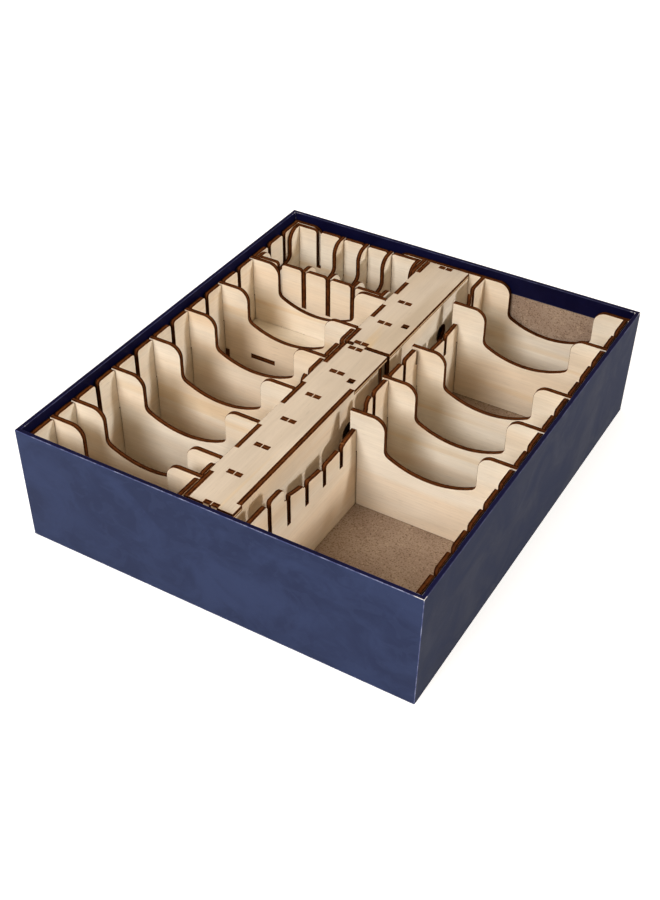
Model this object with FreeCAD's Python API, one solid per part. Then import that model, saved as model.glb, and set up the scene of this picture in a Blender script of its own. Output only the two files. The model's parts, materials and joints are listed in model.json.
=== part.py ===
import FreeCAD, Part
import math
import os

# A laser-cut plywood organizer for playing cards, standing in the base of the game box it fits.
# Its main frame holds a card row on each side, and a spine of two hollow boxes stands between the
# rows. The left row also takes a raised-floor bin and a small cross tray. Every row has dividers
# that hook over comb walls and can be lifted out and moved to another slot.
#
# Axes: X runs from the left row to the right row, Y from the front to the rear, Z up. Everything
# is laid out from the front left bottom corner of the box, and export() moves it so that the
# origin is under the middle of the box. All sizes are in millimetres.

# ---- box base ----
BOX_W = 248.0          # outside, left to right
BOX_L = 287.4          # outside, front to rear
BOX_H = 75.3           # outside height
BOARD = 2.1            # chipboard wall
FLOOR = 2.4            # chipboard bottom
WRAP = 0.25            # printed paper
TURN_IN = 12.5         # depth of the paper folded over the rim to the inside
LEAN_LEFT = 1.0        # how far each side wall leans out at the rim
LEAN_RIGHT = 1.7

# ---- plywood and fits ----
PLY = 3.0              # panel thickness
SLOT = 3.2             # comb slot width
LAP_Z = 42.0           # height of a comb slot's bottom
LAP_GAP = 0.3          # air between a slot's bottom and the ear above it
SIDE_GAP = 0.25        # air between a lift-out panel and the wall beside it
BASE_Z = FLOOR + 0.1   # underside of every plywood unit
TOP_Z = 70.3           # top of every unit
TOOTH_R = 2.2          # rounded corner of a comb tooth
WALL_INSIDE = WRAP + BOARD + WRAP

# ---- plan of the units ----
FRONT_Y = WALL_INSIDE + 0.3
REAR_Y = BOX_L - WALL_INSIDE - 0.3
ROW_W = 102.2          # outside width of a card row
LEFT_X = WALL_INSIDE + 0.2
RIGHT_X = BOX_W - WALL_INSIDE - 0.2 - ROW_W
SPINE_X0 = LEFT_X + ROW_W + 0.3
SPINE_X1 = 136.0

# ---- scoops: half width, lowest point, arc radius, ear radius, foot radius ----
LEFT_SCOOP = (28.6, 39.8, 56.0, 8.0, 5.0)
RIGHT_SCOOP = (28.6, 38.8, 56.0, 8.0, 5.0)
CROSS_SCOOP = (12.9, 48.0, 30.0, 8.0, 4.0)
WALL_SCOOP_FRONT = (44.0, 55.2, 140.0, 5.0, 3.0)
WALL_SCOOP_REAR = (36.0, 55.2, 140.0, 5.0, 3.0)
WALL_SCOOP_FRONT_Y = 84.0
WALL_SCOOP_REAR_Y = 226.0

# ---- left card row ----
LEFT_SLOT_Y = 23.6     # front face of the first slot
LEFT_PITCH = 18.3      # distance between the slots
LEFT_SLOTS = 14
LEFT_DIVIDER_SLOTS = (0, 1, 3, 5, 7)
BIN_FRONT_SLOT = 9
BIN_REAR_SLOT = 11
COMB_TAB = (14.0, 30.0)  # height of the combs' tabs in the end panels

# ---- raised-floor bin ----
BIN_FLOOR_Z = 20.5
BIN_TAB_W = 17.9
BIN_TAB_OFFSET = 18.25  # tab centres, each side of the row's middle
RAIL_TAB_Z = 13.5      # underside of a rail's end tabs

# ---- cross tray behind the bin ----
CROSS_SLOTS = 4
CROSS_SLOT_X = 22.8    # left side of the first slot
CROSS_PITCH = 18.4
CROSS_DIVIDER_SLOTS = (1, 2, 3)
CROSS_DEPTH = 52.4     # outside, front comb to rear comb
CROSS_FLOOR_Z = 5.5
CROSS_DIVIDER_BASE = CROSS_FLOOR_Z + PLY + 0.1
CROSS_TAB_W = 15.0
CROSS_TAB_OFFSET = 23.5

# ---- spine boxes ----
SPINE_FRONT = (8.2, 171.4)
SPINE_REAR = (174.3, 281.2)
SPINE_SEGMENTS = 7     # every second one is a tab of the left wall
RIGHT_TAB_FRONT = (16.4, 132.4)  # the one long tab of the front box's right wall
REAR_END_INSET = 0.8   # the rear end walls stand this far in from the top plates' ends
RIB_Y_FRONT = (34.6, 61.2, 87.9, 114.5, 141.2)
RIB_Y_REAR = (200.7, 227.2)
TWIN_TAB = 4.0         # one of the two tabs side by side on a cross wall
TWIN_GAP = 1.0
TWIN_X_FRONT = (121.8, 118.4, 115.8)  # their middle on the front end wall, the ribs and the rear end
TWIN_X_REAR = (115.8, 117.2, 120.4)
SIDE_TAB = (20.0, 32.0)
PEEP = 4.0             # square hole in each top plate
PEEP_X = 129.9
PEEP_Y_FRONT = 139.2
PEEP_Y_REAR = 205.2
FINGER_R = 6.0         # round finger hole in each right wall
FINGER_Z = 45.0
FINGER_Y_FRONT = 125.5
FINGER_Y_REAR = 244.5
NOTCH_LENGTH = 10.6    # open finger notch at the rear end of the front box
NOTCH_Z = 50.0
NOTCH_R = 4.0
TONGUE = (112.2, 120.2)
TONGUE_LENGTH = 2.5

# ---- right card row ----
RIGHT_SLOT_Y = 22.9
RIGHT_PITCH = 18.45
RIGHT_SLOTS = 14
RIGHT_DIVIDER_SLOTS = (5, 7, 9, 12)
RIGHT_INNER_INSET = 1.5  # the two combs stand this far in from the ends of the dividers' ears
RIGHT_OUTER_INSET = 0.7

CUT = 1.0              # how far a cutting tool runs past a face


def to_space(plane, offset, a, b):
    """A point of a panel's outline: plane is the axis that the panel is thin along."""
    if plane == "x":
        return FreeCAD.Vector(offset, a, b)
    if plane == "y":
        return FreeCAD.Vector(a, offset, b)
    return FreeCAD.Vector(a, b, offset)


def along(plane, length):
    """The panel's thickness as a vector."""
    return FreeCAD.Vector(*[length if plane == axis else 0.0 for axis in "xyz"])


class Outline:
    """A closed outline of straight lines and arcs in a panel's own two axes."""

    def __init__(self, plane, offset, a, b):
        self.plane = plane
        self.offset = offset
        self.first = (a, b)
        self.last = (a, b)
        self.edges = []

    def point(self, pair):
        return to_space(self.plane, self.offset, pair[0], pair[1])

    def line(self, a, b):
        """A straight line to a point. A point where the outline already is adds nothing."""
        if (a, b) != self.last:
            segment = Part.LineSegment(self.point(self.last), self.point((a, b)))
            self.edges.append(segment.toShape())
            self.last = (a, b)
        return self

    def arc(self, centre, radius, start_deg, end_deg):
        """An arc about centre. It starts where the outline has got to."""
        points = []
        for share in (0.5, 1.0):
            turn = math.radians(start_deg + (end_deg - start_deg) * share)
            points.append((centre[0] + radius * math.cos(turn), centre[1] + radius * math.sin(turn)))
        curve = Part.Arc(self.point(self.last), self.point(points[0]), self.point(points[1]))
        self.edges.append(curve.toShape())
        self.last = points[1]
        return self

    def solid(self, thickness=PLY):
        self.line(*self.first)
        face = Part.Face(Part.Wire(self.edges))
        return face.extrude(along(self.plane, thickness))


def block(plane, offset, a_range, b_range, thickness=PLY):
    """A rectangular panel."""
    outline = Outline(plane, offset, a_range[0], b_range[0])
    outline.line(a_range[1], b_range[0]).line(a_range[1], b_range[1]).line(a_range[0], b_range[1])
    return outline.solid(thickness)


def tool(plane, offset, a_range, b_range):
    """A rectangular cutter that passes right through a panel."""
    return block(plane, offset - CUT, a_range, b_range, PLY + 2 * CUT)


def scoop_tool(plane, offset, centre, shape, top=TOP_Z):
    """A cutter for a finger scoop: rounded ears, upright sides, small feet and a shallow arc."""
    half, low, radius, ear, foot = shape
    arc_z = low + radius
    foot_z = arc_z - math.sqrt((radius - foot) ** 2 - (half - foot) ** 2)
    lean = math.degrees(math.atan2(half - foot, arc_z - foot_z))
    cutter = Outline(plane, offset - CUT, centre - half - ear, top + CUT)
    cutter.line(centre - half - ear, top)
    cutter.arc((centre - half - ear, top - ear), ear, 90, 0)
    cutter.line(centre - half, foot_z)
    cutter.arc((centre - half + foot, foot_z), foot, 180, 270 - lean)
    cutter.arc((centre, arc_z), radius, 270 - lean, 270 + lean)
    cutter.arc((centre + half - foot, foot_z), foot, 270 + lean, 360)
    cutter.line(centre + half, top - ear)
    cutter.arc((centre + half + ear, top - ear), ear, 180, 90)
    cutter.line(centre + half + ear, top + CUT)
    return cutter.solid(PLY + 2 * CUT)


def scoop_height(position, centre, shape):
    """Height of a scooped wall's edge at a position along it."""
    half, low, radius = shape[0], shape[1], shape[2]
    reach = position - centre
    if abs(reach) >= half:
        return TOP_Z
    return low + radius - math.sqrt(radius ** 2 - reach ** 2)


def slot_tool(plane, offset, start, width, top):
    """A cutter for one comb slot, with the rounded corners of the teeth on both sides of it."""
    end = start + width
    shoulder = top - TOOTH_R
    cutter = Outline(plane, offset - CUT, start - TOOTH_R, TOP_Z + CUT)
    cutter.line(start - TOOTH_R, top)
    cutter.arc((start - TOOTH_R, shoulder), TOOTH_R, 90, 0)
    cutter.line(start, LAP_Z).line(end, LAP_Z).line(end, shoulder)
    cutter.arc((end + TOOTH_R, shoulder), TOOTH_R, 180, 90)
    cutter.line(end + TOOTH_R, TOP_Z + CUT)
    return cutter.solid(PLY + 2 * CUT)


def comb(plane, offset, ends, slots, scoops=(), base=BASE_Z):
    """An upright comb wall. slots are (start, width) pairs and scoops are (centre, shape) pairs."""
    wall = block(plane, offset, ends, (base, TOP_Z))
    cutters = [scoop_tool(plane, offset, centre, shape) for centre, shape in scoops]
    for start, width in slots:
        middle = start + width / 2
        top = min([TOP_Z] + [scoop_height(middle, centre, shape) for centre, shape in scoops])
        cutters.append(slot_tool(plane, offset, start, width, top))
    return wall.cut(cutters)


def hooked_panel(plane, offset, outer, inner, scoop, centre, base=BASE_Z, lap=LAP_Z):
    """An upright panel whose two ears hook over the comb walls, with a finger scoop at centre."""
    outline = Outline(plane, offset, inner[0], base)
    outline.line(inner[1], base).line(inner[1], lap).line(outer[1], lap).line(outer[1], TOP_Z)
    outline.line(outer[0], TOP_Z).line(outer[0], lap).line(inner[0], lap)
    panel = outline.solid()
    return panel.cut(scoop_tool(plane, offset, centre, scoop))


def end_lap(plane, offset, start):
    """A cutter for the notch at a comb's end that holds an end panel's ear."""
    return tool(plane, offset, (start, start + PLY), (LAP_Z, TOP_Z + CUT))


def mirrored(centre, distance, width):
    """Two ranges of equal width, placed the same distance each side of a centre."""
    return [(centre + side * distance - width / 2, centre + side * distance + width / 2)
            for side in (-1, 1)]


def export(name, shape):
    """Writes one node's file, with the origin moved under the middle of the box."""
    shape = shape.removeSplitter()
    middle_x = (BOX_W + LEAN_RIGHT - LEAN_LEFT) / 2
    shape.translate(FreeCAD.Vector(-middle_x, -BOX_L / 2, 0.0))
    shape.exportStep(os.path.join("parts", name + ".step"))


def filled_box(inset, low, high):
    """A solid that fills the box base up to its walls, less an inset. The side walls lean out."""
    outline = Outline("y", inset, inset - LEAN_LEFT * low / BOX_H, low)
    outline.line(BOX_W - inset + LEAN_RIGHT * low / BOX_H, low)
    outline.line(BOX_W - inset + LEAN_RIGHT * high / BOX_H, high)
    outline.line(inset - LEAN_LEFT * high / BOX_H, high)
    return outline.solid(BOX_L - 2 * inset)


def ring(inset_out, inset_in, low, high):
    """A ring that follows the box walls."""
    return filled_box(inset_out, low, high).cut(filled_box(inset_in, low - CUT, high + CUT))


def game_box():
    """The chipboard tray and the printed paper that covers its outside and turns in at the rim."""
    hollow = WRAP + BOARD
    board = filled_box(WRAP, 0.0, BOX_H - WRAP)
    export("box_board_tray", board.cut(filled_box(hollow, FLOOR, BOX_H + CUT)))

    paper = ring(0.0, WALL_INSIDE, 0.0, BOX_H)
    paper = paper.cut(ring(WRAP, hollow, -CUT, BOX_H - WRAP))
    export("box_wrap", paper.cut(ring(hollow, WALL_INSIDE + CUT, -CUT, BOX_H - TURN_IN)))


def row_span(x0, insets=(0.0, 0.0)):
    """A card row's outside and inside faces along X. insets move its two comb walls inwards."""
    return (x0, x0 + ROW_W), (x0 + insets[0] + PLY, x0 + ROW_W - insets[1] - PLY)


def card_divider(name, x0, y0, scoop, insets=(0.0, 0.0)):
    """A loose divider, a little narrower than the slots and walls that it hangs between."""
    outer, inner = row_span(x0, insets)
    inside = (inner[0] + SIDE_GAP, inner[1] - SIDE_GAP)
    face_y = y0 + (SLOT - PLY) / 2
    lap = LAP_Z + LAP_GAP
    export(name, hooked_panel("y", face_y, outer, inside, scoop, sum(outer) / 2, lap=lap))


def left_slot(index):
    return LEFT_SLOT_Y + index * LEFT_PITCH


def right_slot(index):
    return RIGHT_SLOT_Y + index * RIGHT_PITCH


def comb_walls():
    """Name, X and scoops of the four long comb walls. Those beside the spine have two scoops."""
    scoops = ((WALL_SCOOP_FRONT_Y, WALL_SCOOP_FRONT), (WALL_SCOOP_REAR_Y, WALL_SCOOP_REAR))
    return (
        ("left_outer", LEFT_X, ()),
        ("left_inner", LEFT_X + ROW_W - PLY, scoops),
        ("right_inner", RIGHT_X + RIGHT_INNER_INSET, scoops),
        ("right_outer", RIGHT_X + ROW_W - RIGHT_OUTER_INSET - PLY, ()),
    )


def main_frame():
    """Four comb walls, tabbed into a front and a rear panel that both span the two card rows."""
    slots = {
        "left": [(left_slot(index), SLOT) for index in range(LEFT_SLOTS)],
        "right": [(right_slot(index), SLOT) for index in range(RIGHT_SLOTS)],
    }
    for name, x, scoops in comb_walls():
        side = name.split("_")[0]
        wall = comb("x", x, (FRONT_Y + PLY, REAR_Y - PLY), slots[side], scoops)
        export("frame_" + name + "_comb", wall.fuse(block("x", x, (FRONT_Y, REAR_Y), COMB_TAB)))

    for name, y in (("front", FRONT_Y), ("rear", REAR_Y - PLY)):
        panel = block("y", y, (LEFT_X, RIGHT_X + ROW_W), (BASE_Z, TOP_Z))
        cutters = [scoop_tool("y", y, x0 + ROW_W / 2, scoop)
                   for x0, scoop in ((LEFT_X, LEFT_SCOOP), (RIGHT_X, RIGHT_SCOOP))]
        cutters += [tool("y", y, (wall[1], wall[1] + PLY), COMB_TAB) for wall in comb_walls()]
        export("frame_" + name + "_panel", panel.cut(cutters))


def card_dividers():
    """The loose dividers of both card rows."""
    for number, index in enumerate(LEFT_DIVIDER_SLOTS, 1):
        card_divider("left_divider_%d" % number, LEFT_X, left_slot(index), LEFT_SCOOP)
    insets = (RIGHT_INNER_INSET, RIGHT_OUTER_INSET)
    for number, index in enumerate(RIGHT_DIVIDER_SLOTS, 1):
        card_divider("right_divider_%d" % number, RIGHT_X, right_slot(index), RIGHT_SCOOP, insets)


def raised_bin():
    """Two hooked end panels with a raised floor between them on two side rails."""
    outer, inner = row_span(LEFT_X)
    inside = (inner[0] + SIDE_GAP, inner[1] - SIDE_GAP)
    gap = (SLOT - PLY) / 2
    front_y = left_slot(BIN_FRONT_SLOT) + gap
    rear_y = left_slot(BIN_REAR_SLOT) + gap
    between = (front_y + PLY, rear_y)
    through = (front_y, rear_y + PLY)
    middle = sum(outer) / 2
    floor_tabs = mirrored(middle, BIN_TAB_OFFSET, BIN_TAB_W)
    floor_z = (BIN_FLOOR_Z, BIN_FLOOR_Z + PLY)
    rail_x = (inside[0], inside[1] - PLY)

    for name, y in (("front", front_y), ("rear", rear_y)):
        panel = hooked_panel("y", y, outer, inside, LEFT_SCOOP, middle, lap=LAP_Z + LAP_GAP)
        mortises = [tool("y", y, tab, floor_z) for tab in floor_tabs]
        for x in rail_x:
            mortises.append(tool("y", y, (x, x + PLY), (RAIL_TAB_Z, BIN_FLOOR_Z)))
        export("bin_" + name + "_panel", panel.cut(mortises))

    floor = block("z", BIN_FLOOR_Z, inside, between)
    export("bin_floor", floor.fuse([block("z", BIN_FLOOR_Z, tab, through) for tab in floor_tabs]))
    for name, x in zip(("left", "right"), rail_x):
        rail = block("x", x, between, (BASE_Z, BIN_FLOOR_Z))
        export("bin_rail_" + name, rail.fuse(block("x", x, through, (RAIL_TAB_Z, BIN_FLOOR_Z))))


def cross_tray():
    """A small tray turned across the row: combs at its front and rear, dividers running in Y."""
    inner = row_span(LEFT_X)[1]
    span = (inner[0] + SIDE_GAP, inner[1] - SIDE_GAP)
    front_y = left_slot(BIN_REAR_SLOT) + SLOT + SIDE_GAP
    rear_y = front_y + CROSS_DEPTH
    combs_inside = (front_y + PLY, rear_y - PLY)
    middle_y = (front_y + rear_y) / 2
    side_x = (span[0], span[1] - PLY)
    slots = [(CROSS_SLOT_X + index * CROSS_PITCH, SLOT) for index in range(CROSS_SLOTS)]
    tabs = mirrored(sum(span) / 2, CROSS_TAB_OFFSET, CROSS_TAB_W)
    floor_z = (CROSS_FLOOR_Z, CROSS_FLOOR_Z + PLY)

    for name, y in (("front", front_y), ("rear", rear_y - PLY)):
        cutters = [end_lap("y", y, x) for x in side_x]
        cutters += [tool("y", y, tab, floor_z) for tab in tabs]
        export("cross_tray_" + name + "_comb", comb("y", y, span, slots).cut(cutters))
    for name, x in zip(("left", "right"), side_x):
        side = hooked_panel("x", x, (front_y, rear_y), combs_inside, CROSS_SCOOP, middle_y)
        export("cross_tray_" + name + "_side", side)
    floor = block("z", CROSS_FLOOR_Z, (side_x[0] + PLY, side_x[1]), combs_inside)
    tongues = [block("z", CROSS_FLOOR_Z, tab, (front_y, rear_y)) for tab in tabs]
    export("cross_tray_floor", floor.fuse(tongues))

    inside = (combs_inside[0] + SIDE_GAP, combs_inside[1] - SIDE_GAP)
    for number, index in enumerate(CROSS_DIVIDER_SLOTS, 1):
        x = CROSS_SLOT_X + index * CROSS_PITCH + (SLOT - PLY) / 2
        divider = hooked_panel("x", x, (front_y, rear_y), inside, CROSS_SCOOP, middle_y,
                               base=CROSS_DIVIDER_BASE, lap=LAP_Z + LAP_GAP)
        export("cross_divider_%d" % number, divider)


def twin_tabs(middle):
    """The two tab ranges along X that stand side by side on a cross wall of the spine."""
    return mirrored(middle, (TWIN_TAB + TWIN_GAP) / 2, TWIN_TAB)


def finger_hole(x, y):
    """A cutter for a round finger hole in a wall that is thin along X."""
    start = FreeCAD.Vector(x - CUT, y, FINGER_Z)
    return Part.makeCylinder(FINGER_R, PLY + 2 * CUT, start, FreeCAD.Vector(1, 0, 0))


def spine_box(name, span, right_tab, rib_places, twin_x, peep_y, finger_y):
    """A hollow box with no floor: two side walls, cross walls and a top plate with all their tabs.

    Only the front box has a right_tab, and with it a tongue and a finger notch at its rear end.
    """
    under = TOP_Z - PLY
    right_x = SPINE_X1 - PLY
    inside = (SPINE_X0 + PLY, right_x)
    step = (span[1] - span[0]) / SPINE_SEGMENTS
    left_tabs = [(span[0] + step * index, span[0] + step * (index + 1))
                 for index in range(0, SPINE_SEGMENTS, 2)]
    cross_walls = [("front_end", span[0], twin_x[0])]
    cross_walls += [("rib_%d" % number, place, twin_x[1]) for number, place in enumerate(rib_places, 1)]
    cross_walls.append(("rear_end", span[1] - REAR_END_INSET - PLY, twin_x[2]))

    top = block("z", under, (SPINE_X0, SPINE_X1), span)
    cutters = [tool("z", under, (SPINE_X0 - CUT, SPINE_X0 + PLY), tab) for tab in left_tabs]
    if right_tab:
        cutters.append(tool("z", under, (right_x, SPINE_X1 + CUT), right_tab))
        top = top.fuse(block("z", under, TONGUE, (span[1] - CUT, span[1] + TONGUE_LENGTH)))
    for part_name, place, middle in cross_walls:
        cutters += [tool("z", under, tab, (place, place + PLY)) for tab in twin_tabs(middle)]
    peep_x = (PEEP_X - PEEP / 2, PEEP_X + PEEP / 2)
    cutters.append(tool("z", under, peep_x, (peep_y - PEEP / 2, peep_y + PEEP / 2)))
    export(name + "_top_plate", top.cut(cutters))

    left = block("x", SPINE_X0, span, (BASE_Z, under))
    left = left.fuse([block("x", SPINE_X0, tab, (BASE_Z, TOP_Z)) for tab in left_tabs])
    mortises = [tool("x", SPINE_X0, (place, place + PLY), SIDE_TAB) for _, place, _ in cross_walls]
    export(name + "_left_wall", left.cut(mortises))

    right = block("x", right_x, span, (BASE_Z, under))
    cutters = [tool("x", right_x, (place, place + PLY), SIDE_TAB) for _, place, _ in cross_walls]
    cutters.append(finger_hole(right_x, finger_y))
    if right_tab:
        right = right.fuse(block("x", right_x, right_tab, (BASE_Z, TOP_Z)))
        cutters.append(end_notch(right_x, span[1]))
    export(name + "_right_wall", right.cut(cutters))

    for part_name, place, middle in cross_walls:
        wall = block("y", place, inside, (BASE_Z, under))
        tabs = [block("y", place, tab, (BASE_Z, TOP_Z)) for tab in twin_tabs(middle)]
        tabs.append(block("y", place, (SPINE_X0, SPINE_X1), SIDE_TAB))
        export(name + "_" + part_name, wall.fuse(tabs))


def end_notch(x, end_y):
    """A cutter for the rounded finger notch that is open at the end of a wall."""
    start = end_y - NOTCH_LENGTH
    cutter = Outline("x", x - CUT, end_y + CUT, TOP_Z - PLY + CUT)
    cutter.line(start, TOP_Z - PLY + CUT).line(start, NOTCH_Z + NOTCH_R)
    cutter.arc((start + NOTCH_R, NOTCH_Z + NOTCH_R), NOTCH_R, 180, 270)
    cutter.line(end_y + CUT, NOTCH_Z)
    return cutter.solid(PLY + 2 * CUT)


os.makedirs("parts", exist_ok=True)
game_box()
main_frame()
card_dividers()
raised_bin()
cross_tray()
spine_box("spine_front", SPINE_FRONT, RIGHT_TAB_FRONT, RIB_Y_FRONT, TWIN_X_FRONT,
          PEEP_Y_FRONT, FINGER_Y_FRONT)
spine_box("spine_rear", SPINE_REAR, None, RIB_Y_REAR, TWIN_X_REAR, PEEP_Y_REAR, FINGER_Y_REAR)
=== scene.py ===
import json
import math
import random

import bpy
from mathutils import Matrix, Vector


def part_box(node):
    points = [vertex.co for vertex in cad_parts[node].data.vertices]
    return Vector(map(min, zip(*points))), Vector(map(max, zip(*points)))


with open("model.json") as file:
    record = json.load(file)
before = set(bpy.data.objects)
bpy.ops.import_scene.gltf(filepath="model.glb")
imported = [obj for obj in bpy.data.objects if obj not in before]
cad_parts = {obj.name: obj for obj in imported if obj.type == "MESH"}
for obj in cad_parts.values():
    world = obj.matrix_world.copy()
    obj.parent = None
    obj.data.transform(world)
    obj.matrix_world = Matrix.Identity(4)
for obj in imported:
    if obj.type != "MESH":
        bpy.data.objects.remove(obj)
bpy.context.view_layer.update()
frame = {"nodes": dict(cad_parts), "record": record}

# The looks of a laser-cut birch plywood card organizer in its game box, with its light and camera.
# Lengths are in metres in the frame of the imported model: X to the right, Y to the rear, Z up.
# Noise scales are per metre.

MM = 0.001
BOX_LOW, BOX_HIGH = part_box("box_wrap")

# ---- surface sizes ----
CHAR_WIDTH = 0.22 * MM            # burnt line that the laser leaves along every cut edge
PAPER_ROUND = 0.35 * MM           # rounding of the paper over the box's folds
BOARD_ROUND = PAPER_ROUND / 2     # the same for the chipboard's edges
WELD = 0.005 * MM                 # corners nearer to each other than this are one corner
FLAT_ANGLE = math.radians(0.5)    # faces that meet at less than this are one flat face
SHARP_ANGLE = math.radians(40)    # edges that turn by more than this are rounded
FACING = 0.7                      # a face looks along an axis if its normal has more than this on it


# ---- colours ----
def srgb(red, green, blue):
    """A colour given as it looks on screen, 0 to 255, as linear values with alpha."""
    linear = [(value / 255) / 12.92 if value <= 10 else ((value / 255 + 0.055) / 1.055) ** 2.4
              for value in (red, green, blue)]
    return (*linear, 1.0)


# The studio.
WHITE = (1.0, 1.0, 1.0, 1.0)
WARM_SKY = (1.0, 0.79, 0.52, 1.0)
FLOOR_DARK, FLOOR_LIGHT = srgb(196, 196, 196), srgb(200, 200, 200)

# Plywood: the veneer, the spine's plates (greyer as a painted sheen on their upward faces), their
# yellow streaks, what the laser burnt, and painted light on the plates' right edges.
BIRCH_PALE, BIRCH_TAN = srgb(239, 232, 220), srgb(233, 214, 190)
PLATE_SHEEN_PALE, PLATE_SHEEN_TAN = srgb(206, 195, 182), srgb(193, 179, 161)
HEARTWOOD = srgb(224, 192, 138)
PLY_SKIN, PLY_CORE = srgb(54, 24, 4), srgb(104, 60, 26)
# Painted light: the pale lower half of the spine plates' right edges, which face the key lamp.
PLY_PAINTED_LIT = srgb(214, 190, 156)
CHAR_DARK, CHAR_LIGHT = srgb(92, 54, 24), srgb(140, 98, 60)

# The box's chipboard and the fibres in it.
BOARD_DARK, BOARD_LIGHT = srgb(164, 145, 131), srgb(176, 158, 143)
FIBRE_DARK, FIBRE_LIGHT = srgb(116, 96, 78), srgb(196, 178, 158)

# The box's printed paper on its outside, its right side (darker as painted shade) and turn-in, and
# where it is rubbed.
FRONT_DEEP, FRONT_LIGHT = srgb(39, 49, 81), srgb(52, 63, 96)
SIDE_SHADED_DEEP, SIDE_SHADED_LIGHT = srgb(23, 31, 58), srgb(33, 41, 68)
TURN_IN_DEEP, TURN_IN_LIGHT = srgb(12, 11, 52), srgb(19, 20, 64)
SCUFF = srgb(120, 124, 150)
FOLD_DEEP, FOLD_LIGHT = srgb(34, 38, 78), srgb(78, 84, 120)
FRONT_FOLD_DEEP, FRONT_FOLD_LIGHT = srgb(60, 70, 116), srgb(146, 152, 178)
BARE_PAPER = srgb(196, 194, 196)


class Material:
    """A node material with short calls for the nodes that the finishes below share."""

    def __init__(self, name, roughness, specular):
        self.data = bpy.data.materials.new(name)
        self.data.use_nodes = True
        self.tree = self.data.node_tree
        self.tree.nodes.clear()
        self.shader = self.node("ShaderNodeBsdfPrincipled")
        self.shader.inputs["Roughness"].default_value = roughness
        self.shader.inputs["Specular IOR Level"].default_value = specular
        output = self.node("ShaderNodeOutputMaterial")
        self.tree.links.new(self.shader.outputs[0], output.inputs[0])
        self.place = self.node("ShaderNodeTexCoord").outputs["Object"]

    def node(self, kind, **settings):
        """A new node with these settings."""
        node = self.tree.nodes.new(kind)
        for key, value in settings.items():
            setattr(node, key, value)
        return node

    def put(self, socket, value):
        """Links a socket to another node's output, or sets it to a plain value."""
        if isinstance(value, bpy.types.NodeSocket):
            self.tree.links.new(value, socket)
        else:
            socket.default_value = value

    def math(self, operation, first, second=0.0, clamp=False):
        """The result of one operation on two numbers, held between 0 and 1 where clamp is true."""
        node = self.node("ShaderNodeMath", operation=operation, use_clamp=clamp)
        self.put(node.inputs[0], first)
        self.put(node.inputs[1], second)
        return node.outputs[0]

    def parts(self, vector):
        """The three numbers of a vector."""
        split = self.node("ShaderNodeSeparateXYZ")
        self.put(split.inputs[0], vector)
        return split.outputs

    def axes(self):
        """The place's X, Y and Z."""
        return self.parts(self.place)

    def attribute(self, name):
        """The three numbers of a vertex attribute: see mark_panel."""
        source = self.node("ShaderNodeAttribute", attribute_name=name)
        return self.parts(source.outputs["Vector"])

    def vector(self, x, y, z):
        """A vector, or a grey where all three are the same."""
        join = self.node("ShaderNodeCombineXYZ")
        for socket, value in zip(join.inputs, (x, y, z)):
            self.put(socket, value)
        return join.outputs[0]

    def noise(self, scales, shift=0.0, detail=2.0, roughness=0.5, distortion=0.0):
        """Noise with its own scale on each axis, or one scale for all. shift moves it along."""
        if not isinstance(scales, tuple):
            scales = (scales, scales, scales)
        place = [self.math("MULTIPLY", part, scale) for part, scale in zip(self.axes(), scales)]
        place = [self.math("ADD", part, shift) for part in place]
        node = self.node("ShaderNodeTexNoise")
        self.put(node.inputs["Vector"], self.vector(*place))
        node.inputs["Scale"].default_value = 1.0
        node.inputs["Detail"].default_value = detail
        node.inputs["Roughness"].default_value = roughness
        node.inputs["Distortion"].default_value = distortion
        return node.outputs["Fac"]

    def grain(self, axis, along, across, shift, detail, roughness=0.5, distortion=0.0):
        """Noise drawn out along one axis, by one scale along it and another across it."""
        scales = tuple(along if index == axis else across for index in range(3))
        return self.noise(scales, shift, detail, roughness, distortion)

    def between(self, value, low, high, to_low=0.0, to_high=1.0):
        """value mapped softly from low..high to to_low..to_high, and held at the ends."""
        node = self.node("ShaderNodeMapRange", interpolation_type="SMOOTHSTEP")
        self.put(node.inputs["Value"], value)
        ends = {"From Min": low, "From Max": high, "To Min": to_low, "To Max": to_high}
        for key, number in ends.items():
            node.inputs[key].default_value = number
        return node.outputs["Result"]

    def mix(self, share, first, second, blend="MIX"):
        """first with a share of second laid over it."""
        node = self.node("ShaderNodeMix", data_type="RGBA", blend_type=blend)
        colours = [socket for socket in node.inputs if socket.type == "RGBA"]
        self.put(node.inputs["Factor"], share)
        self.put(colours[0], first)
        self.put(colours[1], second)
        return [socket for socket in node.outputs if socket.type == "RGBA"][0]

    def shaded(self, colour, shade):
        """A colour times a number: below 1 it is darker."""
        return self.mix(1.0, colour, self.vector(shade, shade, shade), "MULTIPLY")

    def finish(self, colour, roughness=None, height=None, depth=0.0):
        """Sets the shader's colour, and its roughness and relief where they vary."""
        self.put(self.shader.inputs["Base Color"], colour)
        if roughness is not None:
            self.put(self.shader.inputs["Roughness"], roughness)
        if height is not None:
            bump = self.node("ShaderNodeBump")
            bump.inputs["Strength"].default_value = 1.0
            bump.inputs["Distance"].default_value = depth
            self.put(bump.inputs["Height"], height)
            self.put(self.shader.inputs["Normal"], bump.outputs["Normal"])
        return self.data


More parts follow.
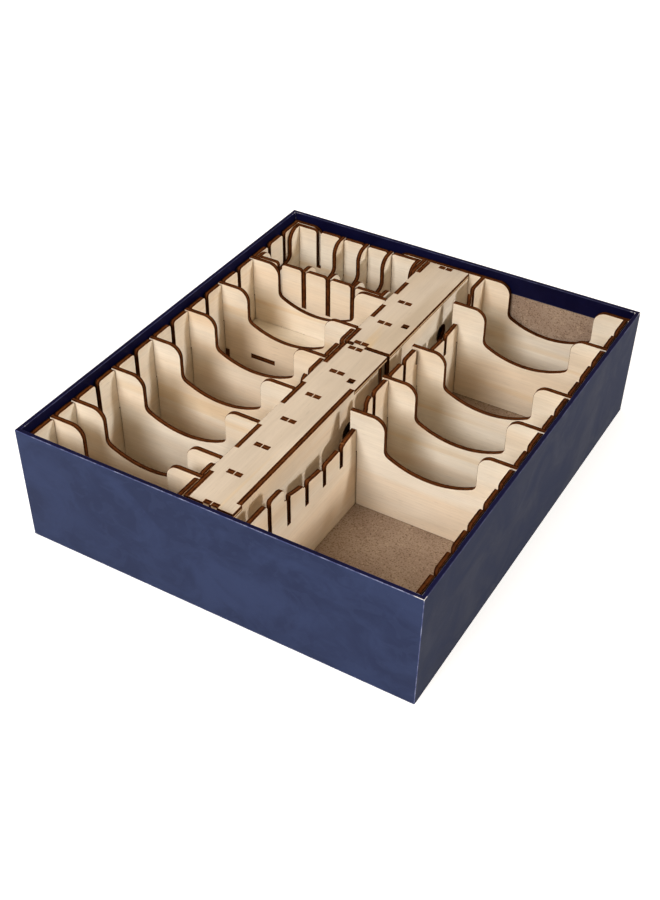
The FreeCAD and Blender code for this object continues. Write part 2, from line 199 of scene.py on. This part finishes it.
# ---- finishes ----
def birch_face(name, axis, pale, tan, heart):
    """Birch veneer with its grain along axis, in a tone that differs from panel to panel.

    It has long soft bands, fine streaks, short pores and dark flecks. heart is how strong the
    yellow streaks of heartwood are.
    """
    look = Material(name, roughness=0.55, specular=0.35)
    _, tone, seed = look.attribute("panel")
    bands = look.grain(axis, 5, 38, seed, detail=3.0, distortion=0.6)
    clouds = look.grain(axis, 22, 60, seed, detail=2.0, distortion=0.4)
    streaks = look.grain(axis, 22, 900, seed, detail=3.0, roughness=0.6)
    pores = look.grain(axis, 160, 2400, seed, detail=1.0)
    flecks = look.grain(axis, 26, 150, seed, detail=2.0, distortion=0.4)
    hearts = look.grain(axis, 3, 90, seed, detail=1.0, distortion=0.3)

    share = look.between(bands, 0.3, 0.7, 0.0, 0.8)
    share = look.math("ADD", share, look.math("MULTIPLY", tone, 0.4), clamp=True)
    colour = look.mix(share, pale, tan)
    colour = look.mix(look.between(hearts, 0.62, 0.72, 0.0, heart), colour, HEARTWOOD)
    shade = look.between(streaks, 0.32, 0.68, 0.96, 1.02)
    for other in (
        look.between(clouds, 0.30, 0.70, 0.95, 1.03),
        look.between(pores, 0.62, 0.78, 1.0, 0.90),
        look.between(flecks, 0.70, 0.80, 1.0, 0.84),
    ):
        shade = look.math("MULTIPLY", shade, other)
    roughness = look.between(streaks, 0.3, 0.7, 0.50, 0.64)
    return look.finish(look.shaded(colour, shade), roughness, streaks, 0.02 * MM)


def cut_edge(name, painted_lit=None):
    """A laser-cut edge: burnt outer plies, a browner core ply and soot in uneven patches.

    Where painted_lit is given, the lower part of the edge has that colour as painted light,
    and only the upper half is burnt.
    """
    look = Material(name, roughness=0.7, specular=0.08)
    depth, _, seed = look.attribute("panel")
    off_middle = look.math("ABSOLUTE", look.math("SUBTRACT", depth, 0.5))
    soot = look.noise(260, seed, detail=3.0, roughness=0.6)
    lines = look.noise((1500, 1500, 300), seed)
    share = look.between(off_middle, 0.14, 0.24)
    share = look.math("ADD", share, look.between(soot, 0.35, 0.75, -0.35, 0.6), clamp=True)
    colour = look.mix(share, PLY_CORE, PLY_SKIN)
    if painted_lit is not None:
        colour = look.mix(look.between(depth, 0.30, 0.50), painted_lit, colour)
    colour = look.shaded(colour, look.between(lines, 0.3, 0.7, 0.8, 1.2))
    return look.finish(colour, None, lines, 0.04 * MM)


def char_line(name):
    """The burnt arris between a face and a cut edge."""
    look = Material(name, roughness=0.65, specular=0.08)
    burn = look.noise(420)
    return look.finish(look.mix(look.between(burn, 0.35, 0.7), CHAR_DARK, CHAR_LIGHT))


def chipboard(name):
    """Grey-brown recycled board with pale and dark fibres."""
    look = Material(name, roughness=0.9, specular=0.2)
    fibres = look.noise(900, detail=3.0, roughness=0.7)
    flecks = look.noise(640, roughness=0.7)
    clouds = look.noise(45, detail=3.0)
    colour = look.mix(look.between(clouds, 0.3, 0.7), BOARD_DARK, BOARD_LIGHT)
    colour = look.mix(look.between(fibres, 0.50, 0.64, 0.0, 0.75), colour, FIBRE_DARK)
    colour = look.mix(look.between(flecks, 0.56, 0.70, 0.0, 0.6), colour, FIBRE_LIGHT)
    return look.finish(colour, None, fibres, 0.05 * MM)


def printed_paper(name, deep, light, gloss=0.15):
    """Navy printed wrap with a satin film: cloudy ink, faint broad shapes and small scuffs."""
    look = Material(name, roughness=0.5, specular=gloss)
    clouds = look.noise((26, 26, 34), detail=4.0, roughness=0.6, distortion=0.8)
    shapes = look.noise((70, 70, 90), distortion=1.5)
    dots = look.noise(900)
    ripple = look.noise(60)
    colour = look.mix(look.between(clouds, 0.35, 0.7), deep, light)
    colour = look.mix(look.between(shapes, 0.52, 0.60, 0.0, 0.3), colour, light)
    colour = look.mix(look.between(dots, 0.70, 0.80, 0.0, 0.10), colour, SCUFF)
    return look.finish(colour, look.between(clouds, 0.3, 0.7, 0.42, 0.54), ripple, 0.06 * MM)


def worn_fold(name):
    """The paper's folds, where the print is rubbed thin.

    It is rubbed most on the front side's folds, and through to bare paper in the top few
    millimetres of the box's four corners.
    """
    look = Material(name, roughness=0.5, specular=0.4)
    rub = look.noise(130, detail=4.0, roughness=0.7)
    x, y, z = look.axes()
    corner = look.between(z, BOX_HIGH.z - 6 * MM, BOX_HIGH.z - 1 * MM)
    for place, end in ((x, BOX_HIGH.x), (y, BOX_HIGH.y)):
        near = look.between(look.math("ABSOLUTE", place), end - 10 * MM, end - 3 * MM)
        corner = look.math("MULTIPLY", corner, near)
    front = look.between(y, BOX_LOW.y + 0.4 * MM, BOX_LOW.y + 1.0 * MM, 1.0, 0.0)
    share = look.between(rub, 0.40, 0.75)
    colour = look.mix(share, FOLD_DEEP, FOLD_LIGHT)
    colour = look.mix(front, colour, look.mix(share, FRONT_FOLD_DEEP, FRONT_FOLD_LIGHT))
    bare = look.math("MULTIPLY", corner, look.between(rub, 0.46, 0.56))
    return look.finish(look.mix(bare, colour, BARE_PAPER))


veneers = {
    ("birch_ply", 0): birch_face("birch_grain_x", 0, BIRCH_PALE, BIRCH_TAN, heart=0.25),
    ("birch_ply", 1): birch_face("birch_grain_y", 1, BIRCH_PALE, BIRCH_TAN, heart=0.25),
    # The spine's plates take the greyer colours: a painted sheen of the light on their upward faces.
    ("spine_birch", 1): birch_face("birch_plate_painted_sheen", 1, PLATE_SHEEN_PALE, PLATE_SHEEN_TAN, heart=0.7),
}
edge = cut_edge("laser_cut_edge")
# The spine plates' right edges, with painted light on their lower half.
painted_lit_plate_edge = cut_edge("plate_cut_edge_painted_lit", PLY_PAINTED_LIT)
char = char_line("laser_char")
board = chipboard("grey_chipboard")
paper = printed_paper("navy_paper", FRONT_DEEP, FRONT_LIGHT)
# The right side's darker print is painted shade.
side_paper_painted_shade = printed_paper("navy_side_paper_painted_shade", SIDE_SHADED_DEEP, SIDE_SHADED_LIGHT, gloss=0.07)
turn_in = printed_paper("deep_navy_paper", TURN_IN_DEEP, TURN_IN_LIGHT)
fold = worn_fold("worn_paper_fold")


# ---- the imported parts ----
def panel_axes(node):
    """A panel's thin axis, and its grain's: level if the panel stands, else its longer side."""
    low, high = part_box(node)
    size = high - low
    thin = min(range(3), key=lambda axis: size[axis])
    if thin == 2:
        return thin, 1 if size.y > size.x else 0
    return thin, 1 - thin


def mark_panel(node, item, thin, rng):
    """Stores each vertex's depth through the panel, and the panel's own tone and noise seed."""
    low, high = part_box(node)
    tone = rng.uniform(-0.5, 0.5)
    seed = rng.uniform(0, 40)
    marks = item.data.attributes.new("panel", "FLOAT_VECTOR", "POINT")
    for vertex, mark in zip(item.data.vertices, marks.data):
        depth = (vertex.co[thin] - low[thin]) / (high[thin] - low[thin])
        mark.vector = (depth, tone, seed)


def dress(item, *materials):
    """Gives a part these materials, in this order."""
    item.data.materials.clear()
    for material in materials:
        item.data.materials.append(material)


def soften(item, width, arris, segments=1):
    """Joins the split corners, clears flat triangles, rounds the sharp edges and evens the normals.

    arris is the place of the rounded edges' material in the part's list of materials.
    """
    if "custom_normal" in item.data.attributes:
        item.data.attributes.remove(item.data.attributes["custom_normal"])
    for polygon in item.data.polygons:
        polygon.use_smooth = True
    weld = item.modifiers.new("weld", "WELD")
    weld.merge_threshold = WELD
    flat = item.modifiers.new("flat", "DECIMATE")
    flat.decimate_type = "DISSOLVE"
    flat.angle_limit = FLAT_ANGLE
    flat.delimit = {"MATERIAL"}
    bevel = item.modifiers.new("arris", "BEVEL")
    bevel.width = width
    bevel.segments = segments
    bevel.limit_method = "ANGLE"
    bevel.angle_limit = SHARP_ANGLE
    bevel.use_clamp_overlap = False
    bevel.material = arris
    bevel.miter_outer = "MITER_SHARP"
    normals = item.modifiers.new("normals", "WEIGHTED_NORMAL")
    normals.keep_sharp = False


def dress_panel(node, item, slot, rng):
    """Veneer on the two faces, burnt plies on the cut edges, and a char line on every arris.

    The right edge of a spine plate is burnt only in its upper half, and its lower half has painted
    light.
    """
    thin, grain = panel_axes(node)
    mark_panel(node, item, thin, rng)
    dress(item, veneers[(slot, grain)], edge, char, painted_lit_plate_edge)
    on_face, on_edge, on_arris, on_painted_lit_plate_edge = range(4)
    right_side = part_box(node)[1].x - 1 * MM
    for polygon in item.data.polygons:
        if abs(polygon.normal[thin]) > FACING:
            polygon.material_index = on_face
        elif slot == "spine_birch" and polygon.normal.x > FACING and polygon.center.x > right_side:
            polygon.material_index = on_painted_lit_plate_edge
        else:
            polygon.material_index = on_edge
    soften(item, CHAR_WIDTH, on_arris)


def dress_wrap(item):
    """The print is darker on the right side as painted shade, and deep navy on the rim and where it
    turns in.
    """
    dress(item, paper, turn_in, fold, side_paper_painted_shade)
    on_print, on_turn_in, on_fold, on_side_print_painted_shade = range(4)
    for polygon in item.data.polygons:
        outward = Vector((polygon.center.x, polygon.center.y, 0)).dot(polygon.normal) > 0
        if polygon.normal.z > FACING or not outward:
            polygon.material_index = on_turn_in
        elif polygon.normal.x > FACING:
            polygon.material_index = on_side_print_painted_shade
        else:
            polygon.material_index = on_print
    soften(item, PAPER_ROUND, on_fold, segments=2)


def dress_board(item):
    """Bare chipboard all over."""
    dress(item, board)
    soften(item, BOARD_ROUND, arris=0)


def dress_parts():
    """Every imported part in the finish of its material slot."""
    rng = random.Random(7)
    for part in frame["record"]["subparts"]:
        node, slot = part["node"], part["material_slot"]
        item = frame["nodes"][node]
        if slot == "chipboard":
            dress_board(item)
        elif slot == "printed_wrap":
            dress_wrap(item)
        else:
            dress_panel(node, item, slot, rng)


# ---- floor, light and camera ----
def floor():
    """A pale plane that glows a little, so that it meets the white backdrop with no line.

    The glow grows from glow_near to glow_far between near and far, measured from the box's middle.
    """
    half = 12.0
    near, far = 0.6, 2.2
    glow_near, glow_far = 0.68, 1.1
    mesh = bpy.data.meshes.new("studio_floor")
    corners = [(-half, -half, 0), (half, -half, 0), (half, half, 0), (-half, half, 0)]
    mesh.from_pydata(corners, [], [(0, 1, 2, 3)])
    plane = bpy.data.objects.new("studio_floor", mesh)
    bpy.context.scene.collection.objects.link(plane)
    look = Material("white_floor", roughness=0.9, specular=0.1)
    x, y, _ = look.axes()
    squares = look.math("ADD", look.math("MULTIPLY", x, x), look.math("MULTIPLY", y, y))
    glow = look.between(look.math("SQRT", squares), near, far, glow_near, glow_far)
    look.shader.inputs["Emission Color"].default_value = WHITE
    look.put(look.shader.inputs["Emission Strength"], glow)
    dust = look.between(look.noise(3), 0.3, 0.7)
    mesh.materials.append(look.finish(look.mix(dust, FLOOR_DARK, FLOOR_LIGHT)))


def surroundings():
    """A dim warm light from all round, and a white backdrop that only the camera sees."""
    world = bpy.data.worlds.new("studio")
    bpy.context.scene.world = world
    world.use_nodes = True
    tree = world.node_tree
    sky = tree.nodes["Background"]
    sky.inputs["Color"].default_value = WARM_SKY
    sky.inputs["Strength"].default_value = 0.42
    backdrop = tree.nodes.new("ShaderNodeBackground")
    backdrop.inputs["Color"].default_value = WHITE
    seen = tree.nodes.new("ShaderNodeLightPath").outputs["Is Camera Ray"]
    both = tree.nodes.new("ShaderNodeMixShader")
    tree.links.new(seen, both.inputs[0])
    tree.links.new(sky.outputs[0], both.inputs[1])
    tree.links.new(backdrop.outputs[0], both.inputs[2])
    tree.links.new(both.outputs[0], tree.nodes["World Output"].inputs["Surface"])


def softbox(name, azimuth, elevation, distance, size, power):
    """A square area light that points at the box. Azimuth 0 is at +X, and 90 at +Y."""
    light = bpy.data.lights.new(name, "AREA")
    light.size = size
    light.energy = power
    item = bpy.data.objects.new(name, light)
    bpy.context.scene.collection.objects.link(item)
    turn, tilt = math.radians(azimuth), math.radians(elevation)
    away = Vector((math.cos(tilt) * math.cos(turn), math.cos(tilt) * math.sin(turn), math.sin(tilt)))
    item.location = away * distance
    item.rotation_euler = away.to_track_quat("Z", "Y").to_euler()


def studio():
    """Three softboxes in warm surroundings. The view's gamma deepens the mid tones."""
    scene = bpy.context.scene
    scene.view_settings.view_transform = "Standard"
    scene.view_settings.gamma = 0.84
    surroundings()
    softbox("key", azimuth=18, elevation=29, distance=1.8, size=0.25, power=16)
    softbox("top", azimuth=120, elevation=66, distance=2.0, size=1.6, power=6)
    softbox("front", azimuth=262, elevation=37, distance=1.5, size=0.6, power=17.3)


def camera():
    """The viewpoint: over the front right corner, looking down the rows.

    The sensor's 36 mm lie along the picture's longer side.
    """
    data = bpy.data.cameras.new("camera")
    data.lens = 52.29
    data.sensor_width = 36.0
    item = bpy.data.objects.new("camera", data)
    bpy.context.scene.collection.objects.link(item)
    place = Matrix.Translation((0.30585, -0.5374, 0.5140))
    azimuth, elevation, roll = (math.radians(angle) for angle in (30.53, 38.98, 0.28))
    turn = Matrix.Rotation(azimuth, 4, "Z") @ Matrix.Rotation(math.pi / 2 - elevation, 4, "X")
    item.matrix_world = place @ turn @ Matrix.Rotation(roll, 4, "Z")
    bpy.context.scene.camera = item


dress_parts()
floor()
studio()
camera()
